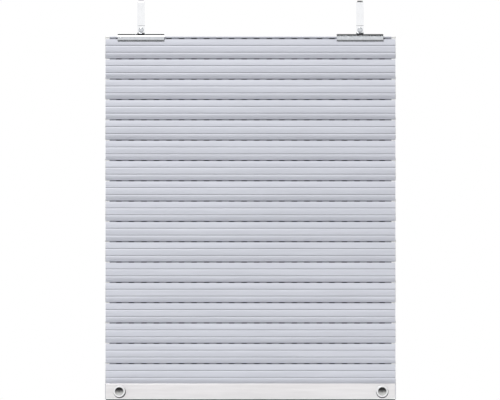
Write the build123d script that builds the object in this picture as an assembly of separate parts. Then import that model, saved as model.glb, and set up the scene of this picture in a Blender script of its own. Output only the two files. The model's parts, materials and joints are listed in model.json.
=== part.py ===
from build123d import *
from math import cos, degrees, asin, radians, sin
import os

# Curtain of an exterior roller shutter: foam-filled slats hooked into each other,
# a bottom bar with its stoppers and seal, and two hangers that hold it on the tube.
# Millimetres. X runs along the slats, Z is up, and the outside face looks along -Y.
# The origin is midway between the holes in the hangers' top tongues.

# Curtain
curtain_width = 587.0
slat_count = 17
slat_pitch = 41.0

# Hook between two slats, a round bead held in a round socket
bead_radius = 1.45
hook_clearance = 0.2
hook_wall = 0.5
neck_thickness = 0.8
neck_clearance = 0.15
forward_swing_degrees = 5.0
back_swing_degrees = 60.0
seam_gap = 2.3

# Slat section, depths are measured from the plane of the hook axes
skin_thickness = 0.45
shoulder_depth = 3.5
shoulder_radius = 1.4
groove_depth = 5.3
band_bulge = 0.75
groove_cut = 0.5
groove_radius = 1.3
groove_shares = (0.345, 0.685)
back_top_depth = 2.0
back_middle_depth = 0.6
screen_thickness = 0.5
screen_gap = 0.4

# Light slots in the neck
slot_pitch = 25.3
slot_margin = 26.0
slot_length = 11.0
slot_height = 1.8

# Foam core and nylon end locks
core_fit = 0.05
lock_flange = 1.0
lock_plug_length = 12.0
lock_tab_length = 8.0
lock_fit = 0.1
lock_keel_reach = 3.6

# Bottom bar
bar_height = 31.5
bar_thickness = 9.5
bar_front_depth = 5.3
bar_wall = 1.2
bar_corner_radius = 1.0
bar_seam_gap = 0.4
bar_cap_thickness = 1.5
bar_cap_plug_length = 10.0
bar_cap_fit = 0.1

# Rubber seal in the foot of the bottom bar
seal_mouth_width = 3.0
seal_head_width = 6.0
seal_head_height = 1.8
seal_fit = 0.1
seal_lip_width = 7.6
seal_lip_height = 4.6
seal_wall = 1.2

# Stoppers on the bottom bar
stopper_inset = 28.5
stopper_diameter = 25.0
stopper_bore_diameter = 17.0
stopper_length = 22.0
stopper_floor = 4.0
stopper_rim_radius = 1.2
screw_diameter = 5.0
screw_hole_clearance = 0.2
screw_head_diameter = 9.0
screw_head_height = 3.0
nut_width = 8.0
nut_thickness = 2.7

# Hangers
hanger_inset = 72.5
bridge_drop = 68.1
bridge_rise = 5.5
bridge_width = 2.0
bridge_thickness = 1.0
rail_length = 94.0
rail_height = 14.5
rail_wall = 0.8
rail_front_depth = 5.5
rail_bulge = 0.8
strip_width = 15.0
strip_thickness = 0.8
strip_flex_drop = 27.0
strip_flex_gap = 0.5
loop_clearance = 0.13
fold_length = 18.0
fold_rise = 0.8
fold_meet_height = 3.4
fold_gap = 0.02
strip_side_clearance = 0.4
tongue_width = 11.0
tongue_shoulder_drop = 3.2
tongue_reach = 8.0
tongue_end_margin = 6.0
tongue_hole_diameter = 5.0
tongue_bend_radius = 1.6
rivet_height = 8.7
rivet_shank_diameter = 4.0
rivet_head_diameter = 10.5
rivet_head_height = 1.2
rivet_tail_diameter = 8.0
rivet_tail_height = 0.8
rivet_fit = 0.05

# Overrun of every cutting tool past the face that it cuts
overrun = 2.0

# Worked out from the sizes above
socket_radius = bead_radius + hook_clearance
hook_radius = socket_radius + hook_wall
neck_half_angle = degrees(asin((neck_thickness / 2 + neck_clearance) / socket_radius))
front_opening = forward_swing_degrees + neck_half_angle
back_opening = back_swing_degrees + neck_half_angle
lip_drop = hook_radius * cos(radians(front_opening))
shoulder_drop = lip_drop + seam_gap
seam_drop = lip_drop + seam_gap / 2
slat_length = curtain_width - 2 * lock_flange
slot_count = int((slat_length - 2 * slot_margin) / slot_pitch) + 1
stopper_x = curtain_width / 2 - stopper_inset
hanger_x = curtain_width / 2 - hanger_inset
loop_inner_radius = (bridge_width ** 2 + bridge_thickness ** 2) ** 0.5 / 2 + loop_clearance
loop_radius = loop_inner_radius + strip_thickness / 2
strip_plane_y = -tongue_reach
hook_plane_y = strip_plane_y - loop_radius
first_axis_z = -bridge_drop - bridge_rise
bar_axis_z = first_axis_z - slat_count * slat_pitch
bar_drop = hook_radius + bar_seam_gap
bar_middle_drop = bar_drop + bar_height / 2
bar_middle_y = -bar_front_depth + bar_thickness / 2
bar_foot_z = -bar_drop - bar_height
seal_groove_height = seal_head_height + seal_fit
bar_foot_height = bar_wall + seal_groove_height + bar_wall
bar_length = curtain_width - 2 * bar_cap_thickness


def run_along_x(sketch, start, end):
    """Solid of a section in Y and Z between two places along X."""
    return Pos(start, 0, 0) * extrude(Plane.YZ * sketch, amount=end - start)


def centred_along_x(sketch, length):
    """Solid of a section in Y and Z, centred on the middle of the curtain."""
    return run_along_x(sketch, -length / 2, length / 2)


def both_sides(solid):
    """A piece of the right side and its mirror image on the left."""
    return [mirror(solid, Plane.YZ), solid]


def block(y_from, y_to, z_from, z_to):
    """Rectangle in Y and Z from its limits."""
    middle = Pos((y_from + y_to) / 2, (z_from + z_to) / 2)
    return middle * Rectangle(y_to - y_from, z_to - z_from)


def bulged(start, end, bulge):
    """Arc from start to end whose middle stands out of the chord, towards the front."""
    middle = ((start[0] + end[0]) / 2 - bulge, (start[1] + end[1]) / 2)
    return ThreePointArc(start, middle, end)


def hook_opening():
    """Sector about the socket's centre that the neck sweeps."""
    reach = hook_radius + overrun
    front = radians(front_opening)
    back = radians(back_opening)
    middle = (back - front) / 2
    return make_face(Polyline(
        (0, 0),
        (-reach * sin(front), -reach * cos(front)),
        (2 * reach * sin(middle), -2 * reach * cos(middle)),
        (reach * sin(back), -reach * cos(back)),
        close=True,
    ))


def hook_socket():
    """Open ring that holds the bead of the next slat."""
    return Circle(hook_radius) - Circle(socket_radius) - hook_opening()


def hook_bead(drop):
    """Bead and neck on top of a slat or bar whose shoulder is this far down."""
    return Circle(bead_radius) + block(-neck_thickness / 2, neck_thickness / 2, -drop - hook_wall / 2, 0)


def slat_outline():
    """Outside of a slat without its hook: three crowned bands and a hollow back."""
    corner = (-shoulder_depth, -shoulder_drop - shoulder_radius)
    top_front = (-shoulder_depth + shoulder_radius, -shoulder_drop)
    round_middle = shoulder_radius * (1 - sin(radians(45)))
    grooves = [(-groove_depth, -seam_drop - share * slat_pitch) for share in groove_shares]
    front_foot = (-hook_radius, -slat_pitch)
    back_foot = (hook_radius, -slat_pitch)
    back_top = (back_top_depth, -shoulder_drop)
    face = make_face(
        bulged(corner, grooves[0], band_bulge)
        + bulged(grooves[0], grooves[1], band_bulge)
        + bulged(grooves[1], front_foot, band_bulge)
        + Line(front_foot, back_foot)
        + ThreePointArc(back_foot, (back_middle_depth, -(slat_pitch + shoulder_drop) / 2), back_top)
        + Line(back_top, top_front)
        + ThreePointArc(top_front, (-shoulder_depth + round_middle, -shoulder_drop - round_middle), corner)
    )
    for y, z in grooves:
        face -= Pos(y - groove_radius + groove_cut, z) * Circle(groove_radius)
    return face


def slat_cavity(inset):
    """Hollow of a slat, above the socket, drawn in from the outside by this much."""
    wall = inset - skin_thickness
    return offset(slat_outline(), amount=-inset) - Pos(0, -slat_pitch) * Circle(hook_radius + wall)


def slat_section():
    """Skin of a slat with the bead on top, the socket below and the light screen behind the slots."""
    screen = block(
        back_top_depth - screen_thickness, back_top_depth,
        -shoulder_drop - skin_thickness / 2, -hook_radius + screen_gap / 2,
    )
    shell = slat_outline() + Pos(0, -slat_pitch) * Circle(hook_radius) - slat_cavity(skin_thickness)
    shell -= Pos(0, -slat_pitch) * (Circle(socket_radius) + hook_opening())
    return shell + hook_bead(shoulder_drop) + screen


def end_notches(shoulder, length):
    """Space over the shoulder, at both ends, where nylon takes the place of the bead."""
    tall = shoulder + bead_radius + overrun
    wide = 2 * (hook_radius + overrun)
    notch = Box(
        lock_tab_length + overrun, wide, tall,
        align=(Align.MIN, Align.CENTER, Align.MIN),
    )
    return both_sides(Pos(length / 2 - lock_tab_length, 0, -shoulder) * notch)


def make_slat():
    """One roll-formed slat, hook axis at the origin."""
    slot_drop = shoulder_drop - (shoulder_drop - hook_radius) / 2
    slot = Box(slot_length, neck_thickness + overrun, slot_height)
    slots = [
        Pos((number - (slot_count - 1) / 2) * slot_pitch, 0, -slot_drop) * slot
        for number in range(slot_count)
    ]
    slat = centred_along_x(slat_section(), slat_length)
    return slat - end_notches(shoulder_drop, slat_length) - slots


def make_core(length):
    """Foam filling of a slat."""
    return centred_along_x(slat_cavity(skin_thickness + core_fit), length)


def make_end_locks(with_keel):
    """Pair of nylon locks in the two ends of a slat, which stop its neighbours from sliding out."""
    end = slat_length / 2
    socket_end = Pos(0, -slat_pitch)
    flange = slat_outline() + socket_end * Circle(hook_radius) + hook_bead(shoulder_drop)
    stub = socket_end * Circle(socket_radius - lock_fit)
    if with_keel:
        stub += socket_end * block(-neck_thickness / 2, neck_thickness / 2, -lock_keel_reach, 0)
    tab_start = end - lock_tab_length + lock_fit
    lock = run_along_x(flange, end, end + lock_flange)
    lock += run_along_x(slat_cavity(skin_thickness + lock_fit), end - lock_plug_length, end)
    lock += run_along_x(hook_bead(shoulder_drop - hook_wall), tab_start, end)
    lock += run_along_x(stub, tab_start, end)
    return both_sides(lock)


def bar_box(inset):
    """Outside of the bottom bar's box, drawn in by this much."""
    middle = Pos(-bar_front_depth + bar_thickness / 2, -bar_middle_drop)
    radius = max(bar_corner_radius - inset, bar_corner_radius / 4)
    return middle * RectangleRounded(bar_thickness - 2 * inset, bar_height - 2 * inset, radius)


def bar_hollow(inset):
    """Hollow of the bottom bar above the seal groove."""
    foot = block(
        -bar_front_depth, -bar_front_depth + bar_thickness,
        bar_foot_z, bar_foot_z + bar_foot_height + inset - bar_wall,
    )
    return bar_box(inset) - foot


def bar_seal_groove():
    """Undercut groove in the bar's foot, open downwards."""
    half_mouth = seal_mouth_width / 2
    half_head = seal_head_width / 2 + seal_fit
    mouth = block(-half_mouth, half_mouth, bar_foot_z - overrun, bar_foot_z + bar_wall + seal_fit)
    head = block(-half_head, half_head, bar_foot_z + bar_wall, bar_foot_z + bar_wall + seal_groove_height)
    return Pos(bar_middle_y, 0) * (mouth + head)


def stopper_places(z):
    """The two stoppers' axes on the bar's front face."""
    return [Pos(side * stopper_x, -bar_front_depth, z) for side in (-1, 1)]


def along_y(radius, start, end):
    """Round pin along Y between two depths behind the bar's front face."""
    length = end - start
    return Pos(0, start + length / 2, 0) * Rot(90, 0, 0) * Cylinder(radius, length)


def make_bottom_bar():
    """Extruded bar with its bead, seal groove and the holes for the stoppers' screws."""
    section = bar_box(0) - bar_hollow(bar_wall) - bar_seal_groove() + hook_bead(bar_drop)
    bar = centred_along_x(section, bar_length)
    hole = along_y(screw_diameter / 2 + screw_hole_clearance, -overrun, bar_wall + overrun)
    holes = [place * hole for place in stopper_places(-bar_middle_drop)]
    return bar - end_notches(bar_drop, slat_length) - holes


def make_bottom_seal():
    """Rubber seal: head in the groove, stem and hollow lip under the bar."""
    half_stem = seal_mouth_width / 2 - seal_fit
    half_head = seal_head_width / 2
    head_foot = bar_foot_z + bar_wall + seal_fit
    head = block(-half_head, half_head, head_foot, head_foot + seal_head_height - seal_fit)
    stem = block(-half_stem, half_stem, bar_foot_z - seal_wall, head_foot)
    lip_middle = Pos(0, bar_foot_z - seal_fit - seal_lip_height / 2)
    lip_radius = seal_lip_height / 2 - seal_fit
    lip = RectangleRounded(seal_lip_width, seal_lip_height, lip_radius)
    lip -= RectangleRounded(
        seal_lip_width - 2 * seal_wall, seal_lip_height - 2 * seal_wall, lip_radius - seal_wall,
    )
    return centred_along_x(Pos(bar_middle_y, 0) * (head + stem + lip_middle * lip), bar_length)


def make_bar_caps():
    """Plastic caps in the two ends of the bottom bar."""
    end = bar_length / 2
    cap = run_along_x(bar_box(0), end, end + bar_cap_thickness)
    cap += run_along_x(bar_hollow(bar_wall + bar_cap_fit), end - bar_cap_plug_length, end)
    return both_sides(cap)


def make_stopper():
    """Hollow round stopper, its floor against the bar's front face at the origin."""
    radius = stopper_diameter / 2
    body = along_y(radius, -stopper_length, 0)
    body -= along_y(stopper_bore_diameter / 2, -stopper_length - overrun, -stopper_floor)
    rim = body.edges().filter_by(GeomType.CIRCLE).group_by(Axis.Y)[0]
    body = fillet(rim, stopper_rim_radius)
    return body - along_y(screw_diameter / 2 + screw_hole_clearance, -stopper_floor - overrun, overrun)


def make_stopper_screw():
    """Screw from the stopper's bore into the nut inside the bar."""
    shank_end = bar_wall + nut_thickness
    head_foot = -stopper_floor
    screw = along_y(screw_diameter / 2, head_foot - screw_head_height / 2, shank_end)
    head = along_y(screw_head_diameter / 2, head_foot - screw_head_height, head_foot)
    crown = head.edges().filter_by(GeomType.CIRCLE).group_by(Axis.Y)[0]
    screw += fillet(crown, screw_head_height / 3)
    slot = Box(screw_head_diameter + overrun, screw_head_height, screw_diameter / 4)
    return screw - Pos(0, head_foot - screw_head_height, 0) * slot


def make_stopper_nut():
    """Hexagon nut behind the bar's front wall."""
    hexagon = RegularPolygon(nut_width / 2, 6, major_radius=False)
    nut = extrude(Plane.XZ * hexagon, amount=-nut_thickness)
    thread = along_y(screw_diameter / 2, -overrun, nut_thickness + overrun)
    return Pos(0, bar_wall, 0) * (nut - thread)


def rail_section():
    """Hanger rail: bulged front wall, top plate and the socket for the first slat's bead."""
    top = bridge_rise + bridge_thickness / 2
    foot = top - rail_height
    inner_top = (-rail_front_depth, top - bridge_thickness)
    inner_foot = (-rail_front_depth, foot)
    outer_foot = (-rail_front_depth - rail_wall, foot)
    outer_top = (-rail_front_depth - rail_wall, top - rail_wall)
    wall = make_face(
        bulged(inner_top, inner_foot, rail_bulge)
        + Line(inner_foot, outer_foot)
        + bulged(outer_foot, outer_top, rail_bulge)
        + Line(outer_top, (-rail_front_depth, top))
        + Line((-rail_front_depth, top), inner_top)
    )
    plate = block(-rail_front_depth, hook_radius, top - bridge_thickness, top)
    back = block(socket_radius, hook_radius, 0, top)
    return wall + plate + back + hook_socket()


def make_rail(x):
    """One hanger rail, hooked on the first slat, with the bridge that the strip loops under."""
    rail = run_along_x(rail_section(), x - rail_length / 2, x + rail_length / 2)
    free = loop_radius + strip_thickness / 2 + loop_clearance
    top = bridge_rise + bridge_thickness / 2
    half_bridge = bridge_width / 2
    window = block(-free, hook_radius + overrun, bridge_rise - free, top + overrun)
    window -= block(-half_bridge, half_bridge, top - bridge_thickness, top)
    half_window = strip_width / 2 + strip_side_clearance
    return rail - run_along_x(window, x - half_window, x + half_window)


def strip_hole(x):
    """Hole for the rivet through the main leaf and the folded leaf."""
    radius = rivet_shank_diameter / 2 + rivet_fit
    length = 4 * strip_thickness + overrun
    return Pos(x, strip_plane_y, -bridge_drop + rivet_height) * Rot(90, 0, 0) * Cylinder(radius, length)


def make_lower_strip(x):
    """Lower half of a hanger strip: down behind the bridge, under it and back up to the rivet."""
    half = strip_thickness / 2
    outer = loop_radius + half
    inner = loop_radius - half
    fold_y = loop_radius - strip_thickness - fold_gap
    leaf_top = bridge_drop - strip_flex_drop - strip_flex_gap / 2
    loop = (Circle(outer) - Circle(inner)) & block(-outer, outer, -outer, 0)
    main_leaf = block(inner, outer, 0, leaf_top)
    rise = block(-outer, -inner, 0, fold_rise)
    slant = make_face(Polyline(
        (-outer, fold_rise), (-inner, fold_rise),
        (fold_y + half, fold_meet_height), (fold_y - half, fold_meet_height),
        close=True,
    ))
    folded_leaf = block(fold_y - half, fold_y + half, fold_meet_height, fold_length)
    section = Pos(hook_plane_y, -bridge_drop) * (loop + main_leaf + rise + slant + folded_leaf)
    return run_along_x(section, x - strip_width / 2, x + strip_width / 2) - strip_hole(x)


def make_upper_strip(x):
    """Upper half of a hanger strip with the tongue bent back for the tube."""
    half = strip_thickness / 2
    foot = -strip_flex_drop + strip_flex_gap / 2 + half
    shoulder = -tongue_shoulder_drop
    path = FilletPolyline(
        (strip_plane_y, foot), (strip_plane_y, 0), (tongue_end_margin, 0),
        radius=tongue_bend_radius,
    )
    section = make_face(offset(path, amount=half, side=Side.BOTH).edges())
    leaf = run_along_x(section, x - strip_width / 2, x + strip_width / 2)
    side_cut = Box(
        strip_width, 2 * (tongue_reach + tongue_end_margin + overrun), -shoulder + overrun,
        align=(Align.MIN, Align.CENTER, Align.MIN),
    )
    cuts = [
        Pos(x + tongue_width / 2, 0, shoulder) * side_cut,
        Pos(x - tongue_width / 2 - strip_width, 0, shoulder) * side_cut,
    ]
    hole = Pos(x, 0, 0) * Cylinder(tongue_hole_diameter / 2, strip_thickness + overrun)
    return leaf - cuts - hole


def make_rivet(x):
    """Rivet that holds the folded leaf: domed head in front, flat tail behind."""
    front = strip_plane_y - 3 * strip_thickness / 2 - fold_gap
    back = strip_plane_y + strip_thickness / 2
    z = -bridge_drop + rivet_height
    shank = along_y(rivet_shank_diameter / 2, front - rivet_head_height / 2, back + rivet_tail_height / 2)
    head = along_y(rivet_head_diameter / 2, front - rivet_head_height, front)
    crown = head.edges().filter_by(GeomType.CIRCLE).group_by(Axis.Y)[0]
    tail = along_y(rivet_tail_diameter / 2, back, back + rivet_tail_height)
    return Pos(x, 0, z) * (shank + fillet(crown, 3 * rivet_head_height / 4) + tail)


def at_axis(number):
    """Place of a slat by its number from the top, starting at zero."""
    return Pos(0, hook_plane_y, first_axis_z - number * slat_pitch)


def make_nodes():
    """Every sub-part under its own name, as a list of solids."""
    nodes = {}
    slat = make_slat()
    long_core = make_core(slat_length)
    short_core = make_core(slat_length - 2 * (lock_plug_length + core_fit))
    locks = make_end_locks(True)
    last_locks = make_end_locks(False)
    for number in range(slat_count):
        tag = f"{number + 1:02d}"
        place = at_axis(number)
        locked = number % 2 == 0
        nodes["slat_" + tag] = [place * slat]
        nodes["core_" + tag] = [place * (short_core if locked else long_core)]
        if locked:
            pair = last_locks if number == slat_count - 1 else locks
            nodes["end_locks_" + tag] = [place * lock for lock in pair]

    bar = at_axis(slat_count)
    stoppers = [bar * place for place in stopper_places(-bar_middle_drop)]
    stopper = make_stopper()
    nodes["bottom_bar"] = [bar * make_bottom_bar()]
    nodes["bottom_seal"] = [bar * make_bottom_seal()]
    nodes["bar_end_caps"] = [bar * cap for cap in make_bar_caps()]
    nodes["left_stopper"] = [stoppers[0] * stopper]
    nodes["right_stopper"] = [stoppers[1] * stopper]
    nodes["stopper_screws"] = [place * make_stopper_screw() for place in stoppers]
    nodes["stopper_nuts"] = [place * make_stopper_nut() for place in stoppers]

    rivets = []
    for side, x in (("left", -hanger_x), ("right", hanger_x)):
        nodes[side + "_upper_strip"] = [make_upper_strip(x)]
        nodes[side + "_lower_strip"] = [make_lower_strip(x)]
        nodes[side + "_hanger_rail"] = [at_axis(0) * make_rail(x)]
        rivets.append(make_rivet(x))
    nodes["strip_rivets"] = rivets
    return nodes


def write_nodes():
    """One STEP file for each node."""
    os.makedirs("parts", exist_ok=True)
    for name, pieces in make_nodes().items():
        solids = [solid for piece in pieces for solid in piece.solids()]
        export_step(Compound(children=solids, label=name), f"parts/{name}.step")


write_nodes()
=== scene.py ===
"""Curtain of an exterior roller shutter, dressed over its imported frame."""
import json
import math

import bmesh
import bpy
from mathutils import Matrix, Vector


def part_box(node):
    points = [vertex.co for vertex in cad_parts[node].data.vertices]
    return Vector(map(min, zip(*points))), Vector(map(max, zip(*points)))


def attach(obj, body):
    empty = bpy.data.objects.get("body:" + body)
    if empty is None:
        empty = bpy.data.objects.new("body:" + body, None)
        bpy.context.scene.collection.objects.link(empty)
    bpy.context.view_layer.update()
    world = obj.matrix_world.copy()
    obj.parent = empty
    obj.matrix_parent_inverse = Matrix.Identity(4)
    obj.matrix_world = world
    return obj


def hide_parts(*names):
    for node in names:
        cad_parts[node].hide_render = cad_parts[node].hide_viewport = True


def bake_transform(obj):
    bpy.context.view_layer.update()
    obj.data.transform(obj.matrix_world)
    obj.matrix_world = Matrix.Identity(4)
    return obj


bl_info = {
    "name": "Roller shutter curtain",
    "version": (1, 0, 0),
    "blender": (4, 5, 0),
    "location": "View3D > Sidebar > Shutter",
    "description": "Makes the slats, bottom bar, hangers and finishes of a roller shutter curtain",
    "category": "Object",
}

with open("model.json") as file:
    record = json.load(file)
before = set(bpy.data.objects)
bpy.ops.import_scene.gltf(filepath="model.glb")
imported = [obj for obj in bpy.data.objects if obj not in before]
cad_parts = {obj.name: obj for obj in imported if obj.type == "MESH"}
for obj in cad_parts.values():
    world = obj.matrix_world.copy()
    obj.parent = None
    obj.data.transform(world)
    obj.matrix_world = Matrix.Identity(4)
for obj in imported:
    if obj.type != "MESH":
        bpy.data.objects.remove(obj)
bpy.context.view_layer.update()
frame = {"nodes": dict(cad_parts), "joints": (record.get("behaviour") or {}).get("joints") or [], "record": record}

MM = 0.001

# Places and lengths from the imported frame
JOINTS = {joint["name"]: joint for joint in frame["joints"]}
HOOK_Y = JOINTS["hook_01"]["pos_m"][1]
FIRST_AXIS_Z = JOINTS["hook_01"]["pos_m"][2]
PITCH = FIRST_AXIS_Z - JOINTS["hook_02"]["pos_m"][2]
BAR_AXIS_Z = JOINTS["hook_bar"]["pos_m"][2]
BRIDGE = Vector(JOINTS["rail_swing"]["pos_m"])
FLEX = Vector(JOINTS["strip_flex"]["pos_m"])
SLATS = sorted(name for name in frame["nodes"] if name.startswith("slat_"))
CAPS_LOW, CAPS_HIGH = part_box("bar_end_caps")
CURTAIN_WIDTH = CAPS_HIGH[0] - CAPS_LOW[0]

# How far a cutter reaches past what it cuts, how far below a flat face a notch goes, and how
# near to each other two points are made one
OVERRUN = 2 * MM
NOTCH_BITE = 0.02 * MM
WELD = 0.001 * MM

# Angles in degrees: edges sharper than these stay crisp, a strip's edges over EDGE_TURN are rounded
SHARP = 32
RAIL_SHARP = 12.5
EDGE_TURN = 60
EDGE_SEGMENTS = 3

# Angles in degrees: a hook's swing both ways, and where the hollow leaves the socket on both sides
FORWARD_SWING = 5
BACK_SWING = 60
HOLLOW_TURN = 20
HOLLOW_BACK_TURN = 45

# Steps round the turned pieces, their dishes, rims and holes, and along the rolled curves
TURN_STEPS = 64
DISH_STEPS = 8
RIM_STEPS = 6
PIN_STEPS = 32
BEAD_STEPS = 28
SOCKET_STEPS = 26
LIP_STEPS = 3
HOOK_STEPS = 10
RAIL_STEPS = 20
LOOP_STEPS = 12

# Where the two rolled grooves lie, as shares of the pitch, and their shape, as shares of a
# groove's depth and of its half width or its lip
GROOVE_PLACES = (0.345, 0.685)
SIDE_DEPTH = 0.55
SIDE_HEIGHT = 0.62
FLOOR_HEIGHT = 0.25
LIP_DEPTH = 0.3
LIP_HEIGHT = 0.5

# Shares: how far a slat's hollow stays off its socket, in the skin's thickness; where a rail's foot
# starts in its wall; the ground part of a strip's end; a rivet's shank in its head; the roundings of
# a bridge and a pad in their thickness; and how far a pad stands back and up in the rail's slope
SOCKET_GAP = 1 / 8
HEM_SHARE = 0.7
SLOPE_SHARE = 0.8
SHANK_SHARE = 1 / 3
BRIDGE_ROUND = 1 / 4
PAD_ROUND = 1 / 8
PAD_SHARE = 1 / 4

# Where on a slat the lacquer is painted darker as shade, with the finish there
PAINTED_SHADE = {
    "Neck": "shade painted on the neck", "Slot": "shade painted behind the slots",
    "Upper groove": "shade painted in the grooves", "Lower groove": "shade painted in the grooves",
}

# The noise texture keeps between these values over most of its area
NOISE_RANGE = {"From Min": 0.3, "From Max": 0.7}

# Stage, in metres and watts
FLOOR_REACH = 0.9
FLOOR_Z = -0.9
FLOOR_TINTS = ("F4F4F4", "F0F0F0")
FLOOR_ROUGHNESS = 0.7
CURTAIN_MIDDLE_Z = -0.42
WORLD_LIGHT = 0.4
# What shiny parts mirror: an axis, two places along it and the brightness at each
MIRRORED = (
    ("Z", 0.45, 0.78, 1.0, 0.06),   # dark ceiling
    ("X", 0.45, 0.75, 1.0, 0.5),    # darker wall on the right
    ("Z", -0.6, -0.25, 0.12, 1.0),  # dark below
)
# Name, place, size, power and whether shiny parts mirror it
LAMPS = (
    ("key", (-0.8, -2.2, 3.5), 1.2, 122.0, True),
    ("front", (-0.3, -3.4, 0.9), 0.9, 26.0, False),
    ("back", (0.5, 2.6, 2.2), 1.6, 90.0, False),
)
# The camera looks at this place from this far; the photograph is 500 pixels wide, each 2.0187 mm
VIEW_DISTANCE = 12.0
VIEW_WIDTH = 500 * 2.0187 * MM
VIEW_X = -1.0 * MM
VIEW_Z = -402.4 * MM
SENSOR_WIDTH = 36
FAR_CLIP = 100


def linear(hex_colour):
    """An sRGB hex colour as linear red, green, blue and alpha, by the numbers of that standard."""
    shares = [int(hex_colour[place:place + 2], 16) / 255 for place in (0, 2, 4)]
    return [s / 12.92 if s <= 0.04045 else ((s + 0.055) / 1.055) ** 2.4 for s in shares] + [1.0]


def length(name, millimetres, description):
    """A length that a user may change, given in millimetres and kept in metres."""
    return bpy.props.FloatProperty(
        name=name, default=millimetres * MM, description=description,
        subtype="DISTANCE", unit="LENGTH", precision=5,
    )


def tint(name, hex_colour, description):
    """A colour that a user may change."""
    return bpy.props.FloatVectorProperty(
        name=name, default=linear(hex_colour), description=description, subtype="COLOR", size=4,
    )


class SlatSizes(bpy.types.PropertyGroup):
    """Section of one slat, depths measured from the plane of the hook axes."""
    bead_radius: length("Bead radius", 1.45, "Round bead on top of each slat")
    socket_radius: length("Socket radius", 1.65, "Inside of the socket that holds the bead")
    hook_radius: length("Hook radius", 2.15, "Outside of the socket")
    neck: length("Neck", 0.8, "Thickness of the neck under the bead")
    neck_gap: length("Neck gap", 0.15, "Room beside the neck where it leaves the socket")
    shoulder_drop: length("Shoulder drop", 4.256, "From the hook axis down to the shoulder")
    seam_drop: length("Seam drop", 3.106, "From the hook axis down to the middle of the seam")
    shoulder_depth: length("Shoulder depth", 3.5, "How far the shoulder stands forward")
    shoulder_radius: length("Shoulder radius", 1.4, "Rounding of the shoulder")
    groove_depth: length("Groove place", 5.3, "How far the bands' joints stand forward")
    band_bulge: length("Band bulge", 0.75, "Crown of each band over its chord")
    low_bulge: length("Lowest band's bulge", 1.45, "Crown of the lowest band over its chord")
    groove_cut: length("Groove cut", 0.9, "Depth of the two rolled grooves")
    groove_width: length("Groove width", 2.2, "Width of the two rolled grooves")
    groove_lip: length("Groove lip", 2.4, "How far the grooves' lower sides lean out to the next band")
    back_top: length("Back at the top", 2.0, "How far back the slat's top stands")
    back_middle: length("Back in the middle", 0.6, "How far back the hollow middle stands")
    screen: length("Screen", 0.5, "Thickness of the fold behind the light slots")
    screen_drop: length("Screen drop", 1.95, "From the hook axis down to the screen's top")
    skin: length("Skin", 0.45, "Thickness of the roll-formed skin")
    slot_pitch: length("Slot pitch", 25.3, "Distance between light slots")
    slot_length: length("Slot length", 11.0, "Length of a light slot")
    slot_height: length("Slot height", 1.8, "Height of a light slot")
    slot_count: bpy.props.IntProperty(name="Slots", default=22, min=1, description="Light slots in a slat")
    notch: length("Notch", 8.0, "Length of the bead that the end locks take the place of")
    skin_end: length("Skin end", 1.0, "How far the cut skin stays inside the curtain's edge")


class BarSizes(bpy.types.PropertyGroup):
    """Bottom bar with its caps, seal and stoppers."""
    drop: length("Drop", 2.55, "From the hook axis down to the bar's top")
    height: length("Height", 31.5, "Height of the bar")
    thickness: length("Thickness", 9.5, "Thickness of the bar")
    front: length("Front", 5.3, "How far the bar's face stands forward")
    corner: length("Corner", 1.0, "Rounding of the bar's edges")
    wall: length("Wall", 1.2, "Wall of the bar")
    cap: length("Cap", 1.5, "Thickness of the end caps")
    groove_height: length("Groove height", 1.9, "Height of the seal groove's undercut")
    seal_mouth: length("Groove mouth", 3.0, "Width of the seal groove's mouth")
    seal_head: length("Groove width", 6.2, "Width of the seal groove's undercut")
    seal_width: length("Seal width", 7.6, "Width of the seal's lip")
    seal_height: length("Seal height", 4.6, "Height of the seal's lip")
    seal_wall: length("Seal wall", 1.2, "Wall of the seal's lip")
    seal_fit: length("Seal fit", 0.1, "Room between the seal and its groove")
    stopper: length("Stopper", 25.0, "Width that a stopper and its play take up")
    stopper_bore: length("Stopper bore", 17.0, "Bore of a stopper")
    stopper_length: length("Stopper length", 22.0, "How far a stopper stands out")
    stopper_floor: length("Stopper floor", 4.0, "Thickness of a stopper's floor")
    stopper_rim: length("Stopper rim", 0.6, "Rounding of a stopper's rim on the inside")
    stopper_edge: length("Stopper edge", 1.6, "Rounding of a stopper's rim on the outside")
    stopper_play: length("Stopper play", 0.9, "How far a stopper sits up and aside on its screw")
    # Painted shadow: a dark rubber washer, set down and aside behind each stopper, stands for its shadow on the
    # bar
    washer: length("Washer", 24.8, "Diameter of the rubber washer behind a stopper")
    washer_thickness: length("Washer thickness", 1.5, "Thickness of that washer")
    washer_play: length("Shadow offset", 0.9, "How far that washer is set down and aside to show as the stopper's shadow")
    stopper_hole: length("Screw hole", 5.4, "Hole in a stopper's floor")
    plug_lip: length("Plug lip", 0.2, "Thickness of the rubber plug's lip in a stopper's bore")
    plug_hole: length("Plug hole", 2.4, "Hole in the middle of the plug")
    plug_depth: length("Plug depth", 6.2, "How deep the plug is dished")
    plug_wall: length("Plug wall", 1.5, "Thickness of the plug")
    screw: length("Screw", 5.0, "Diameter of a stopper's screw")
    screw_head: length("Screw head", 9.0, "Diameter of the screw's head")
    screw_height: length("Screw head height", 3.0, "Height of the screw's head")
    screw_recess: length("Screw recess", 4.2, "Width of the driver recess in the screw's head")
    screw_reach: length("Screw reach", 3.9, "How far the screw reaches into the bar")


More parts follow.
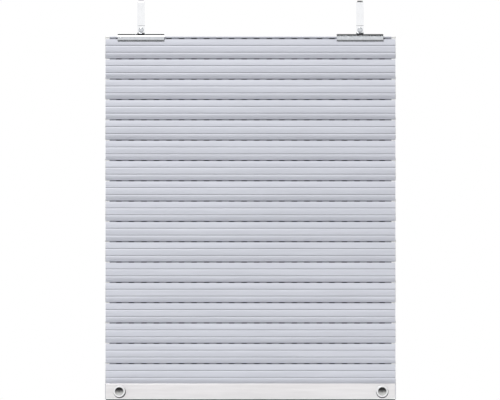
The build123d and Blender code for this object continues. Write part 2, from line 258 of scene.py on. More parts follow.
class HangerSizes(bpy.types.PropertyGroup):
    """Strips, rails and rivets that hold the curtain on its tube."""
    width: length("Strip width", 15.0, "Width of a strip")
    thickness: length("Strip thickness", 0.8, "Thickness of a strip")
    edge: length("Strip edge", 0.38, "Rounding of a strip's rolled edges")
    tongue: length("Tongue width", 11.0, "Width of the tongue at the top")
    tongue_drop: length("Tongue drop", 3.2, "How far down the tongue's shoulders are")
    bend: length("Bend", 5.0, "Radius of the tongue's bend")
    tongue_end: length("Tongue end", 6.4, "How far the tongue reaches past its hole")
    tongue_hole: length("Tongue hole", 5.0, "Hole in the tongue")
    step: length("Step", 2.0, "Distance between the points along a strip")
    fold: length("Fold", 18.0, "How high the folded leaf reaches over the bridge")
    fold_rise: length("Fold rise", 0.8, "Where the folded leaf starts to lean back")
    fold_meet: length("Fold meet", 3.4, "Where the folded leaf meets the main leaf")
    fold_gap: length("Fold gap", 0.02, "Gap between the two leaves")
    bridge_rise: length("Bridge rise", 5.5, "Height of the rail's bridge over the first hook axis")
    bridge_thickness: length("Bridge thickness", 1.0, "Thickness of the bridge and of the rail's top")
    bridge_width: length("Bridge width", 2.0, "Width of the bridge")
    height: length("Rail height", 14.5, "Height of a rail's front wall")
    wall: length("Rail wall", 0.8, "Thickness of a rail's front wall")
    front: length("Rail front", 5.5, "How far a rail's front wall stands forward")
    bulge: length("Rail bulge", 0.7, "Crown of a rail's front wall")
    chamfer: length("Rail chamfer", 3.1, "Height of the slope along the top of a rail's front wall")
    chamfer_depth: length("Chamfer depth", 3.1, "Depth of that slope")
    band: length("Rail band", 1.4, "Height of the steeper band under that slope")
    band_depth: length("Band depth", 0.8, "Depth of that band")
    hem: length("Rail hem", 1.4, "Height of the rolled foot of a rail's front wall")
    pad: length("Pad", 2.4, "Thickness of the rubber pad in a rail's top edge, in front of the strip")
    pad_width: length("Pad width", 13.0, "Width of that pad")
    slope: length("Ground end", 0.7, "Height of the slope ground on the folded leaf's end")
    window_room: length("Window room", 0.4, "Room beside a strip in the rail's window")
    window_depth: length("Window depth", 2.2, "Half the depth of the rail's window")
    rivet: length("Rivet head", 10.5, "Diameter of the rivet's head")
    rivet_rise: length("Rivet rise", 8.7, "Height of the rivet over the bridge")
    rivet_dome: length("Rivet dome", 1.2, "Height of the rivet's head")
    rivet_tail: length("Rivet tail", 8.0, "Diameter of the rivet's tail")
    rivet_tail_height: length("Rivet tail height", 0.8, "Height of the rivet's tail")


class Finishes(bpy.types.PropertyGroup):
    """Colours of the finishes."""
    lacquer: tint("Lacquer", "CFD1DA", "Light grey coil lacquer of the slats")
    lacquer_shade: tint("Lacquer, darker", "C6C8D1", "The same lacquer where its film is thinner")
    # Painted shade: the grey of the necks stands for the shade in the seams
    rubbed: tint("Neck shade colour", "92949C", "Grey painted on the necks as the seams' shade")
    # Painted shade: the greyer colour in the rolled grooves stands for the shade in them
    groove_shade: tint("Groove shade colour", "ABADB5", "The slats' lacquer in the two rolled grooves")
    # Painted shade: the near black behind the light slots stands for the shade there
    dust: tint("Slot shade colour", "1C1D20", "Near black painted behind the light slots as their shade")
    # Painted light: the pale colour on the lower side of the stoppers' bores stands for light falling in from
    # above
    bore_light: tint("Bore light colour", "C4C4C3", "Pale light painted on the lower side of the stoppers' bores")
    mill: tint("Bar aluminium", "ECEAEB", "Bare extruded aluminium of the bottom bar")
    steel: tint("Strip steel", "F7F8FA", "Bright spring steel")
    zinc: tint("Zinc", "D6D9DD", "Bright zinc plating")
    nylon: tint("Nylon", "EDEDEB", "White nylon of the end locks")
    foam: tint("Foam", "DCC98F", "Polyurethane foam in the slats")
    stopper: tint("Stopper", "F0F0F1", "Metallic grey ABS of the stoppers")
    cap: tint("End cap", "BDBEC4", "Grey polypropylene of the bar's caps")
    rubber: tint("Rubber", "1B1B1D", "EPDM rubber of the seal")


def node(tree, kind, inputs=None, **settings):
    """Adds a node with its settings; an input is a value, an output, or a node for its first output."""
    made = tree.nodes.new(kind)
    for setting, value in settings.items():
        setattr(made, setting, value)
    for key, value in (inputs or {}).items():
        if isinstance(value, bpy.types.Node):
            value = value.outputs[0]
        if isinstance(value, bpy.types.NodeSocket):
            tree.links.new(value, made.inputs[key])
        else:
            made.inputs[key].default_value = value
    return made


# Outlines in the section plane, as points (y, z)


def arc(centre, radius, start, end, steps=8):
    """Arc from one angle to another, in degrees from straight down towards the back."""
    turns = [math.radians(start + (end - start) * step / steps) for step in range(steps + 1)]
    return [(centre[0] + radius * math.sin(t), centre[1] - radius * math.cos(t)) for t in turns]


def bulged(start, end, bulge, steps=10):
    """Shallow arc between two points, standing out towards the front."""
    points = []
    for step in range(steps + 1):
        share = step / steps
        y = start[0] + (end[0] - start[0]) * share - 4 * bulge * share * (1 - share)
        points.append((y, start[1] + (end[1] - start[1]) * share))
    return points


def at_height(band, z):
    """The point of a band at this height."""
    for (y_one, z_one), (y_two, z_two) in zip(band, band[1:]):
        if min(z_one, z_two) <= z <= max(z_one, z_two):
            return (y_one + (y_two - y_one) * (z - z_one) / (z_two - z_one), z)
    raise ValueError("no point of the band at this height")


def between(band, top, foot):
    """The stretch of a falling band between two heights."""
    inner = [point for point in band if foot < point[1] < top]
    return [at_height(band, top), *inner, at_height(band, foot)]


def groove_middles(sizes, pitch):
    """Where the two rolled grooves lie on the face."""
    return [(-sizes.groove_depth, -sizes.seam_drop - share * pitch) for share in GROOVE_PLACES]


def front_face(sizes, pitch):
    """Shoulder, three crowned bands and two rolled grooves, from the top down to the hook."""
    corner = (-sizes.shoulder_depth, -sizes.shoulder_drop - sizes.shoulder_radius)
    joints = groove_middles(sizes, pitch)
    stops = [corner, *joints, (-sizes.hook_radius, -pitch)]
    half, lip, last = sizes.groove_width / 2, sizes.groove_lip, len(joints)
    centre = (-sizes.shoulder_depth + sizes.shoulder_radius, corner[1])
    points = arc(centre, sizes.shoulder_radius, 180, 270)
    for number, (start, end) in enumerate(zip(stops, stops[1:])):
        band = bulged(start, end, sizes.low_bulge if number == last else sizes.band_bulge)
        stretch = between(band, start[1] - (lip if number else 0), end[1] + (half if number < last else 0))
        points += stretch[1:] if number == 0 else stretch
        if number < last:
            edge_y = stretch[-1][0]
            floor_y = edge_y + sizes.groove_cut
            points += [
                (edge_y + sizes.groove_cut * SIDE_DEPTH, end[1] + half * SIDE_HEIGHT),
                (floor_y, end[1] + half * FLOOR_HEIGHT),
                (floor_y, end[1] - half * FLOOR_HEIGHT),
                (edge_y + sizes.groove_cut * LIP_DEPTH, end[1] - lip * LIP_HEIGHT),
            ]
    return points


def back_face(sizes, pitch):
    """The hollow back of a slat, from the hook up to the top."""
    foot = (sizes.hook_radius, -pitch)
    top = (sizes.back_top, -sizes.shoulder_drop)
    return bulged(foot, top, (foot[0] + top[0]) / 2 - sizes.back_middle)


def hook_head(sizes, drop):
    """Neck and bead, from the neck's front foot over the bead to its back foot."""
    half = sizes.neck / 2
    side = math.degrees(math.asin(half / sizes.bead_radius))
    return [(-half, -drop), *arc((0, 0), sizes.bead_radius, -side, side - 360, BEAD_STEPS), (half, -drop)]


def socket(sizes, axis, end, steps):
    """Open socket round a hook axis: from its back, in at one lip, out at the other and on to an
    angle on its front, in degrees from straight down towards the back."""
    neck_turn = math.degrees(math.asin((sizes.neck / 2 + sizes.neck_gap) / sizes.socket_radius))
    front, back = -FORWARD_SWING - neck_turn, BACK_SWING + neck_turn
    return arc(axis, sizes.hook_radius, 90, back, LIP_STEPS) \
        + arc(axis, sizes.socket_radius, back, front + 360, SOCKET_STEPS) \
        + arc(axis, sizes.hook_radius, front, end, steps)


def slat_outline(sizes, pitch):
    """Outside of a slat with its bead, screen and open socket, all the way round."""
    screen_front, screen_top = sizes.back_top - sizes.screen, -sizes.screen_drop
    screen = [
        (screen_front, -sizes.shoulder_drop), (screen_front, screen_top), (sizes.back_top, screen_top),
    ]
    return hook_head(sizes, sizes.shoulder_drop) + screen + back_face(sizes, pitch)[::-1] \
        + socket(sizes, (0, -pitch), -90, HOOK_STEPS)[1:] + front_face(sizes, pitch)[-2::-1]


def slat_hollow(sizes, pitch):
    """Hollow of a slat over its socket, drawn in by the skin."""
    top, skin = -sizes.shoulder_drop - sizes.skin, sizes.skin
    wall = sizes.hook_radius + skin * SOCKET_GAP
    over = arc((0, -pitch), wall, -90 - HOLLOW_TURN, -270 + HOLLOW_BACK_TURN)
    front = [(y + skin, min(z, top)) for y, z in front_face(sizes, pitch) if z > over[0][1] + skin]
    back = [(y - skin, min(z, top)) for y, z in back_face(sizes, pitch) if z > over[-1][1] + skin]
    return front + over + back


def rounded_box(y_low, y_high, z_low, z_high, radius, steps=5):
    """Rectangle with rounded corners."""
    corners = (
        ((y_high - radius, z_low + radius), 0), ((y_high - radius, z_high - radius), 90),
        ((y_low + radius, z_high - radius), 180), ((y_low + radius, z_low + radius), 270),
    )
    return [point for centre, start in corners for point in arc(centre, radius, start, start + 90, steps)]


def seal_groove(middle, mouth, head, foot, lip, roof):
    """Outline of the seal's groove, which widens to a head above its mouth, or of the stem in it."""
    return [
        (middle + mouth, foot), (middle + mouth, lip), (middle + head, lip), (middle + head, roof),
        (middle - head, roof), (middle - head, lip), (middle - mouth, lip), (middle - mouth, foot),
    ]


def bar_outline(slat, bar):
    """Outside of the bottom bar with its bead, and the mouth of its seal groove."""
    low, high = -bar.front, -bar.front + bar.thickness
    top, foot = -bar.drop, -bar.drop - bar.height
    corner, lip = bar.corner, foot + bar.wall
    groove = seal_groove(
        (low + high) / 2, bar.seal_mouth / 2, bar.seal_head / 2, foot, lip, lip + bar.groove_height,
    )
    return hook_head(slat, bar.drop) + arc((high - corner, top - corner), corner, 180, 90) \
        + arc((high - corner, foot + corner), corner, 90, 0) + groove \
        + arc((low + corner, foot + corner), corner, 0, -90) \
        + arc((low + corner, top - corner), corner, -90, -180)


def rail_outline(slat, rail):
    """Hanger rail: crowned front wall, top plate, back wall and the socket for the first bead."""
    top = rail.bridge_rise + rail.bridge_thickness / 2
    under = top - rail.bridge_thickness
    foot = top - rail.height
    inner_y, outer_y = -rail.front, -rail.front - rail.wall
    meet = math.degrees(math.asin(slat.socket_radius / slat.hook_radius))
    slope_y, slope_z = outer_y + rail.band_depth, top - rail.chamfer
    lean = math.hypot(rail.chamfer, rail.chamfer_depth)
    inside = (slope_y + rail.wall * rail.chamfer / lean, slope_z - rail.wall * rail.chamfer_depth / lean)
    roof = (inside[0] + (under - inside[1]) * rail.chamfer_depth / rail.chamfer, under)
    crown = bulged((outer_y, foot + rail.hem), (outer_y, slope_z - rail.band), rail.bulge)
    outer = [(outer_y + rail.wall * HEM_SHARE, foot), *crown, (slope_y, slope_z)]
    inner = [roof, inside] + bulged((inner_y, slope_z - rail.band), (inner_y, foot), rail.bulge)
    return [(slope_y + rail.chamfer_depth, top), (slat.hook_radius, top)] \
        + socket(slat, (0, 0), -180 - meet, RAIL_STEPS) \
        + [(slat.socket_radius, under)] + inner + outer


def thickened(path, thickness, slope=0.0):
    """Closed outline of a strip that follows a path in the section plane, its last end ground to a slope."""
    left, right = [], []
    for place, (y, z) in enumerate(path):
        before = path[max(place - 1, 0)]
        after = path[min(place + 1, len(path) - 1)]
        along = Vector((after[0] - before[0], after[1] - before[1])).normalized() * (thickness / 2)
        left.append((y - along.y, z + along.x))
        right.append((y + along.y, z - along.x))
    if slope:
        y, z = left[-1]
        left[-1] = (y, z - slope)
        left.append((y + thickness * SLOPE_SHARE, z))
    return left + right[::-1]


def strip_path(strip):
    """Middle line of a hanger strip: tongue, bend, leaf, loop under the bridge and folded leaf."""
    bend = strip.bend
    loop = FLEX.y - BRIDGE.y
    leaf = [(FLEX.y, -step * strip.step) for step in range(1, int(-BRIDGE.z / strip.step))]
    leaf = [point for point in leaf if point[1] < -bend - strip.step / 2]
    folded_y = BRIDGE.y + loop - strip.thickness - strip.fold_gap
    fold_top = BRIDGE.z + strip.fold
    return [(strip.tongue_end, 0), (FLEX.y + 2 * bend, 0)] \
        + arc((FLEX.y + bend, -bend), bend, 180, 270) + leaf \
        + arc((BRIDGE.y, BRIDGE.z), loop, 90, -90, LOOP_STEPS) \
        + [(BRIDGE.y - loop, BRIDGE.z + strip.fold_rise), (folded_y, BRIDGE.z + strip.fold_meet)] \
        + [(folded_y, BRIDGE.z + strip.fold_meet + strip.step), (folded_y, fold_top - 2 * strip.slope),
           (folded_y, fold_top)]


def rim_curve(centre, reach, start, end, steps):
    """Rounding of a turned piece as points (radius, y) on an ellipse, between two angles in degrees."""
    turns = [math.radians(start + (end - start) * step / steps) for step in range(steps + 1)]
    return [(centre[0] + reach[0] * math.cos(t), centre[1] + reach[1] * math.sin(t)) for t in turns]


def turned(profile):
    """Closed mesh turned about Y from a closed run of points (radius, y), with no doubles or flat
    faces and every face outwards."""
    turns = [2 * math.pi * step / TURN_STEPS for step in range(TURN_STEPS)]
    verts = [(r * math.cos(t), y, r * math.sin(t)) for t in turns for r, y in profile]
    count = len(profile)
    faces = []
    for step in range(TURN_STEPS):
        here, there = step * count, (step + 1) % TURN_STEPS * count
        for place in range(count):
            after = (place + 1) % count
            faces.append((here + place, here + after, there + after, there + place))
    mesh = bpy.data.meshes.new("turned")
    mesh.from_pydata(verts, [], faces)
    shell = bmesh.new()
    shell.from_mesh(mesh)
    bmesh.ops.remove_doubles(shell, verts=shell.verts, dist=WELD)
    bmesh.ops.dissolve_degenerate(shell, edges=shell.edges, dist=WELD)
    bmesh.ops.recalc_face_normals(shell, faces=shell.faces)
    shell.to_mesh(mesh)
    shell.free()
    return mesh


def loops_mesh(loops):
    """Closed outlines as edges in the plane that the trees fill."""
    verts, edges = [], []
    for loop in loops:
        first = len(verts)
        verts += [(y, z, 0) for y, z in loop]
        edges += [(first + place, first + (place + 1) % len(loop)) for place in range(len(loop))]
    mesh = bpy.data.meshes.new("outline")
    mesh.from_pydata(verts, edges, [])
    return mesh


def boxes_mesh(boxes):
    """Cutting blocks, each from its lowest and highest corner."""
    corners = ((0, 0, 0), (1, 0, 0), (1, 1, 0), (0, 1, 0), (0, 0, 1), (1, 0, 1), (1, 1, 1), (0, 1, 1))
    sides = ((0, 3, 2, 1), (4, 5, 6, 7), (0, 1, 5, 4), (1, 2, 6, 5), (2, 3, 7, 6), (3, 0, 4, 7))
    verts, faces = [], []
    for pair in boxes:
        first = len(verts)
        verts += [tuple(pair[pick[axis]][axis] for axis in range(3)) for pick in corners]
        faces += [tuple(first + corner for corner in side) for side in sides]
    mesh = bpy.data.meshes.new("cutters")
    mesh.from_pydata(verts, [], faces)
    return mesh


def end_notches(sizes, foot):
    """Cutting blocks that take both ends of a bead away, down to a height."""
    half, reach = CURTAIN_WIDTH / 2 - sizes.skin_end, sizes.hook_radius + OVERRUN
    return boxes_mesh([
        ((end - sizes.notch, -reach, foot - NOTCH_BITE), (end + sizes.notch, reach, reach))
        for end in (-half, half)
    ])


# Geometry Nodes trees

COMMON = {"Place": "Vector", "Sharp angle": "Float", "Material": "Material"}


def new_tree(name, inputs):
    """A modifier tree with named inputs; returns the tree and what its inputs give."""
    tree = bpy.data.node_groups.new(name, "GeometryNodeTree")
    tree.is_modifier = True
    for way in ("INPUT", "OUTPUT"):
        tree.interface.new_socket(name="Geometry", in_out=way, socket_type="NodeSocketGeometry")
    for label, kind in inputs.items():
        tree.interface.new_socket(name=label, in_out="INPUT", socket_type="NodeSocket" + kind)
    return tree, tree.nodes.new("NodeGroupInput").outputs


def extruded(tree, given):
    """Fills the outlines and draws them out along X between two places."""
    curve = node(tree, "GeometryNodeMeshToCurve", {"Mesh": given["Geometry"]})
    filled = node(tree, "GeometryNodeFillCurve", {"Curve": curve}, mode="NGONS")
    span = node(tree, "ShaderNodeMath", {0: given["End"], 1: given["Start"]}, operation="SUBTRACT")
    drawn = node(tree, "GeometryNodeExtrudeMesh", {
        "Mesh": filled, "Offset": (0, 0, 1), "Offset Scale": span, "Individual": False,
    })
    underside = node(tree, "GeometryNodeFlipFaces", {"Mesh": filled})
    both = node(tree, "GeometryNodeJoinGeometry", {"Geometry": drawn})
    tree.links.new(underside.outputs["Mesh"], both.inputs["Geometry"])
    closed = node(tree, "GeometryNodeMergeByDistance", {"Geometry": both, "Distance": WELD})
    start = node(tree, "ShaderNodeCombineXYZ", {"Z": given["Start"]})
    moved = node(tree, "GeometryNodeTransform", {"Geometry": closed, "Translation": start})
    return node(tree, "GeometryNodeTransform", {"Geometry": moved, "Rotation": (math.pi / 2, 0, math.pi / 2)})


def cut_section(tree, given, *holes):
    """The drawn-out section with the cutting blocks and any other holes taken away."""
    tool = node(tree, "GeometryNodeObjectInfo", {"Object": given["Cutters"]}, transform_space="ORIGINAL")
    body = extruded(tree, given)
    for hole in (tool.outputs["Geometry"], *holes):
        body = node(tree, "GeometryNodeMeshBoolean", {"Mesh 1": body, "Mesh 2": hole},
                    operation="DIFFERENCE", solver="MANIFOLD")
    return body


def in_a_row(tree, count, first, step, instance):
    """Real copies of a shape at evenly spaced places."""
    places = {"Count": count, "Start Location": first, "Offset": step}
    row = node(tree, "GeometryNodeMeshLine", places, mode="OFFSET")
    copies = node(tree, "GeometryNodeInstanceOnPoints", {"Points": row, "Instance": instance})
    return node(tree, "GeometryNodeRealizeInstances", {"Geometry": copies})


def within(tree, given, place):
    """Picks the faces whose middle lies in the box of a place painted darker as shade, measured from the piece's
    axis.
    """
    where = node(tree, "GeometryNodeInputPosition")
    local = node(tree, "ShaderNodeVectorMath", {0: where, 1: given["Place"]}, operation="SUBTRACT")
    tests = [
        node(tree, "FunctionNodeCompare", {"A": local, "B": given[f"{place} {end}"]},
             data_type="VECTOR", mode="ELEMENT", operation=operation)
        for end, operation in (("low", "GREATER_THAN"), ("high", "LESS_THAN"))
    ]
    return node(tree, "FunctionNodeBooleanMath", dict(enumerate(tests)))


def end_tree(tree, given, geometry):
    """Moves the piece to its place, sets soft and sharp edges and its materials, and closes the tree."""
    placed = node(tree, "GeometryNodeTransform", {"Geometry": geometry, "Translation": given["Place"]})
    real = node(tree, "GeometryNodeRealizeInstances", {"Geometry": placed})
    soft = node(tree, "GeometryNodeSetShadeSmooth", {"Geometry": real, "Shade Smooth": True})
    angle = node(tree, "GeometryNodeInputMeshEdgeAngle")
    steep = node(tree, "FunctionNodeCompare", {
        "A": angle.outputs["Unsigned Angle"], "B": given["Sharp angle"],
    }, data_type="FLOAT", operation="GREATER_THAN")
    crisp = node(tree, "GeometryNodeSetShadeSmooth", {
        "Geometry": soft, "Selection": steep, "Shade Smooth": False,
    }, domain="EDGE")
    dressed = node(tree, "GeometryNodeSetMaterial", {"Geometry": crisp, "Material": given["Material"]})
    # The places on a slat painted darker as shade take their own materials
    for place in PAINTED_SHADE:
        look = place + " material"
        if look in given:
            dressed = node(tree, "GeometryNodeSetMaterial", {
                "Geometry": dressed, "Selection": within(tree, given, place), "Material": given[look],
            })
    node(tree, "NodeGroupOutput", {"Geometry": dressed})
    return tree


def section_tree():
    """A drawn-out section with its cutters taken away, once or at both ends."""
    tree, given = new_tree("Drawn section", {
        "Start": "Float", "End": "Float", "Cutters": "Object", "Both ends": "Bool", **COMMON,
    })
    body = cut_section(tree, given)
    reach = node(tree, "ShaderNodeMath", {0: given["Start"], 1: given["End"]})
    back = node(tree, "ShaderNodeMath", {0: reach, 1: -1.0}, operation="MULTIPLY")
    shift = node(tree, "ShaderNodeCombineXYZ", {"X": back})
    other = node(tree, "GeometryNodeTransform", {"Geometry": body, "Translation": shift})
    pair = node(tree, "GeometryNodeJoinGeometry", {"Geometry": body})
    tree.links.new(other.outputs["Geometry"], pair.inputs["Geometry"])
    chosen = node(tree, "GeometryNodeSwitch", {
        "Switch": given["Both ends"], "False": body, "True": pair,
    }, input_type="GEOMETRY")
    return end_tree(tree, given, chosen)


def slat_tree():
    """A slat: drawn-out section, notches at both ends of its bead and light slots in its neck."""
    tree, given = new_tree("Slat", {
        "Start": "Float", "End": "Float", "Cutters": "Object",
        "Slots": "Int", "First slot": "Vector", "Slot step": "Vector", "Slot size": "Vector",
        **{f"{place} material": "Material" for place in PAINTED_SHADE},
        **{f"{place} {end}": "Vector" for place in PAINTED_SHADE for end in ("low", "high")}, **COMMON,
    })
    slot = node(tree, "GeometryNodeMeshCube", {"Size": given["Slot size"]})
    slots = in_a_row(tree, given["Slots"], given["First slot"], given["Slot step"], slot)
    return end_tree(tree, given, cut_section(tree, given, slots))


def repeat_tree():
    """A turned piece set at evenly spaced places."""
    tree, given = new_tree("Turned pieces in a row", {
        "Count": "Int", "First": "Vector", "Step": "Vector", **COMMON,
    })
    row = in_a_row(tree, given["Count"], given["First"], given["Step"], given["Geometry"])
    return end_tree(tree, given, row)


TREES = {"section": section_tree, "slat": slat_tree, "repeat": repeat_tree}


def made_by(kind, name, mesh, body, slot, nodes=(), cutters=None, **values):
    """Runs a tree over a mesh and keeps its result as a plain piece on a body."""
    tree = bpy.data.node_groups.get(kind) or TREES[kind]()
    tree.name = kind
    source = bpy.data.objects.new(name + ".source", mesh)
    bpy.context.scene.collection.objects.link(source)
    modifier = source.modifiers.new("Shape", "NODES")
    modifier.node_group = tree
    tool = None
    if cutters is not None:
        tool = bpy.data.objects.new(name + ".cutters", cutters)
        bpy.context.scene.collection.objects.link(tool)
        values["Cutters"] = tool
    look = finish(values.pop("look", slot))
    settings = {"Sharp angle": math.radians(SHARP), "Place": (0, 0, 0), "Material": look, **values}
    for item in tree.interface.items_tree:
        if item.in_out == "INPUT" and item.name in settings:
            modifier[item.identifier] = settings[item.name]
    shaped = source.evaluated_get(bpy.context.evaluated_depsgraph_get())
    plain = bpy.data.meshes.new_from_object(shaped)
    if not plain.polygons:
        raise RuntimeError(f"the tree {kind} made nothing for {name}")
    source.modifiers.remove(modifier)
    bpy.data.objects.remove(source)
    if tool:
        bpy.data.objects.remove(tool)
    return settled(name, plain, body, nodes)


def settled(name, mesh, body, nodes=()):
    """Puts a finished mesh into the scene, on its body, in place of its nodes."""
    piece = bpy.data.objects.new(name, mesh)
    mesh.name = name
    bpy.context.scene.collection.objects.link(piece)
    if body:
        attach(piece, body)
    if nodes:
        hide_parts(*nodes)
    return piece


# Materials


def new_material(name):
    """An empty material with its shader and output."""
    material = bpy.data.materials.new(name)
    material.use_nodes = True
    tree = material.node_tree
    tree.nodes.clear()
    shader = node(tree, "ShaderNodeBsdfPrincipled")
    node(tree, "ShaderNodeOutputMaterial", {"Surface": shader})
    return material, tree, shader


def pattern(tree, kind, size, **inputs):
    """A texture over object coordinates, its grain of this real size in millimetres along X, Y and Z."""
    place = node(tree, "ShaderNodeTexCoord")
    scaled = node(tree, "ShaderNodeMapping", {
        "Vector": place.outputs["Object"], "Scale": tuple(1 / (grain * MM) for grain in size),
    })
    return node(tree, kind, {"Vector": scaled, "Scale": 1.0, **inputs})


def lay_finish(tree, shader, share, tones, roughness, reliefs):
    """Drives the colour by a share between two tones, the roughness by a noise and its two ends,
    and the relief by heights, each with its depth in millimetres."""
    mix = node(tree, "ShaderNodeMix", {"Factor": share, "A": tones[0], "B": tones[1]}, data_type="RGBA")
    tree.links.new(mix.outputs["Result"], shader.inputs["Base Color"])
    if roughness:
        value, low, high = roughness
        rough = node(tree, "ShaderNodeMapRange", {
            "Value": value, **NOISE_RANGE, "To Min": low, "To Max": high,
        })
        tree.links.new(rough.outputs["Result"], shader.inputs["Roughness"])
    below = {}
    for height, depth in reliefs:
        bump = node(tree, "ShaderNodeBump", {
            "Height": height, "Distance": depth * MM, "Strength": 1.0, **below,
        })
        below = {"Normal": bump}
        tree.links.new(bump.outputs["Normal"], shader.inputs["Normal"])


def grained_finish(name, tones, drift, fine, roughness, depth, metallic=0.0, waves=()):
    """A material whose colour drifts between two tones with one noise, and whose roughness and
    relief follow a finer one. A noise is its grain along X, Y and Z in millimetres, its detail
    and its roughness. Waves are more reliefs under the finer one, each a noise and its depth."""
    material, tree, shader = new_material(name)
    shader.inputs["Metallic"].default_value = metallic
    noises = {
        noise: pattern(tree, "ShaderNodeTexNoise", noise[:3], Detail=noise[3], Roughness=noise[4])
        for noise in dict.fromkeys((drift, fine, *(wave for wave, _ in waves)))
    }
    share = node(tree, "ShaderNodeMapRange", {"Value": noises[drift], **NOISE_RANGE})
    reliefs = [(noises[noise], height) for noise, height in (*waves, (fine, depth))]
    lay_finish(tree, shader, share, tones, (noises[fine], *roughness), reliefs)
    return material


def two_tones(colour, share):
    """A colour and another tone of it."""
    return colour, [channel * share for channel in colour[:3]] + [1.0]


def coil_lacquer(name, tints):
    """Polyester lacquer rolled on to aluminium coil: satin, with faint streaks along
    the slat, a fine orange peel and the long waves that roll forming leaves in it."""
    streaks, peel, waves = (180, 9, 9, 3.0, 0.5), (1.4, 1.4, 1.4, 2.0, 0.5), (24, 60, 30, 1.0, 0.5)
    both = tints.lacquer, tints.lacquer_shade
    return grained_finish(name, both, streaks, peel, (0.38, 0.48), 0.01, waves=((waves, 0.12),))


def cast_foam(name, tints):
    """Polyurethane foam blown into the slat: straw-coloured, matt, with open cells."""
    material, tree, shader = new_material(name)
    cells = pattern(tree, "ShaderNodeTexVoronoi", (0.7, 0.7, 0.7))
    shader.inputs["Roughness"].default_value = 0.92
    lay_finish(tree, shader, cells, two_tones(tints.foam, 0.72)[::-1], None, [(cells, 0.2)])
    return material


def moulded_nylon(name, tints):
    """Injection-moulded nylon: milky white, half matt, with fine flow marks."""
    flow, grit = (6, 2, 2, 2.0, 0.5), (0.5, 0.5, 0.5, 1.0, 0.5)
    return grained_finish(name, two_tones(tints.nylon, 0.94), flow, grit, (0.42, 0.54), 0.01)


def rolled_spring_steel(name, tints):
    """Cold-rolled spring steel: bright, with fine roll lines down its length and
    clouded patches of oil. The lines are drawn about twice as coarse as they are."""
    clouds, lines = (7, 7, 16, 2.0, 0.5), (0.35, 0.35, 30, 3.0, 0.5)
    both = two_tones(tints.steel, 0.95)
    return grained_finish(name, both, clouds, lines, (0.12, 0.22), 0.006, metallic=1.0)


def bright_zinc(name, tints):
    """Bright zinc plating over pressed steel: soft shine with small cloudy patches."""
    clouds, grain = (5, 5, 5, 3.0, 0.5), (0.6, 0.6, 0.6, 2.0, 0.5)
    return grained_finish(name, two_tones(tints.zinc, 0.86), clouds, grain, (0.13, 0.2), 0.002, metallic=1.0)


def extruded_aluminium(name, tints):
    """Bare extruded aluminium: half matt, with die lines along the bar. The lines
    are drawn about 0.5 mm wide, several times coarser than they are, so they show."""
    bands, lines = (90, 6, 6, 2.0, 0.5), (260, 0.5, 0.5, 3.0, 0.6)
    return grained_finish(name, two_tones(tints.mill, 0.93), bands, lines, (0.26, 0.42), 0.005, metallic=1.0)


def metallic_abs(name, tints):
    """Moulded ABS with metal flake in it: light grey, half matt, with a faint sparkle.
    The flakes are drawn 0.4 mm wide, coarser than they are."""
    material, tree, shader = new_material(name)
    flakes = pattern(tree, "ShaderNodeTexVoronoi", (0.4, 0.4, 0.4))
    split = node(tree, "ShaderNodeSeparateColor", {"Color": flakes.outputs["Color"]})
    shade, gloss, tilt = split.outputs
    shader.inputs["Metallic"].default_value = 0.2
    lay_finish(tree, shader, shade, two_tones(tints.stopper, 0.88), (gloss, 0.32, 0.44), [(tilt, 0.004)])
    return material


def moulded_polypropylene(name, tints):
    """Moulded polypropylene: waxy light grey with a fine spark-eroded grain."""
    grain = (0.4, 0.4, 0.4, 2.0, 0.5)
    return grained_finish(name, two_tones(tints.cap, 0.93), grain, grain, (0.4, 0.52), 0.015)


def extruded_rubber(name, tints):
    """Extruded EPDM rubber: near black, with draw lines and pale dust in them."""
    lines = (120, 0.6, 0.6, 2.0, 0.5)
    return grained_finish(name, two_tones(tints.rubber, 1.8), lines, lines, (0.55, 0.75), 0.02)


def neck_shade_lacquer(name, tints):
    """The slats' lacquer where the hook has its neck: painted grey as the shade in the seam, and dull."""
    neck_noise = (14, 1.5, 1.5, 3.0, 0.5)
    return grained_finish(name, two_tones(tints.rubbed, 0.8), neck_noise, neck_noise, (0.5, 0.7), 0.02)


def slot_shade_lacquer(name, tints):
    """The slats' lacquer behind the light slots: painted near black as the shade there, and dull."""
    dust = (5, 1.5, 1.5, 3.0, 0.5)
    return grained_finish(name, two_tones(tints.dust, 0.7), dust, dust, (0.7, 0.9), 0.03)


def groove_shade_lacquer(name, tints):
    """The slats' lacquer in the rolled grooves: painted greyer as the shade in them, and duller."""
    groove_shade = (40, 2, 2, 3.0, 0.5)
    return grained_finish(name, two_tones(tints.groove_shade, 0.9), groove_shade, groove_shade, (0.5, 0.65), 0.02)


def bore_light_and_shade(name, tints):
    """Moulded rubber plug in a stopper's bore: painted pale low down, as the light that falls in from
    above, and black high up, its rubber's own colour standing for the shade there, with a ragged
    edge between them from an eighth of the stopper's width under the middle to a fifth over it."""
    material, tree, shader = new_material(name)
    low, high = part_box("left_stopper")
    middle, span, ragged = (high.z + low.z) / 2, (high.z - low.z) / 4, 0.6 * MM
    place = node(tree, "ShaderNodeTexCoord")
    axes = node(tree, "ShaderNodeSeparateXYZ", {"Vector": place.outputs["Object"]})
    specks = pattern(tree, "ShaderNodeTexNoise", (1.2, 1.2, 1.2), Detail=2.0, Roughness=0.5)
    shift = node(tree, "ShaderNodeMapRange", {
        "Value": specks, **NOISE_RANGE, "To Min": -ragged, "To Max": ragged,
    })
    height = node(tree, "ShaderNodeMath", {0: axes.outputs["Z"], 1: shift})
    # Painted light and shade: pale towards the bottom of the bore, black towards the top
    shade_share = node(tree, "ShaderNodeMapRange", {
        "Value": height, "From Min": middle - span / 2, "From Max": middle + span * 0.8,
    }, interpolation_type="SMOOTHSTEP")
    lay_finish(tree, shader, shade_share, (tints.bore_light, tints.rubber), (specks, 0.6, 0.8), [(specks, 0.02)])
    return material


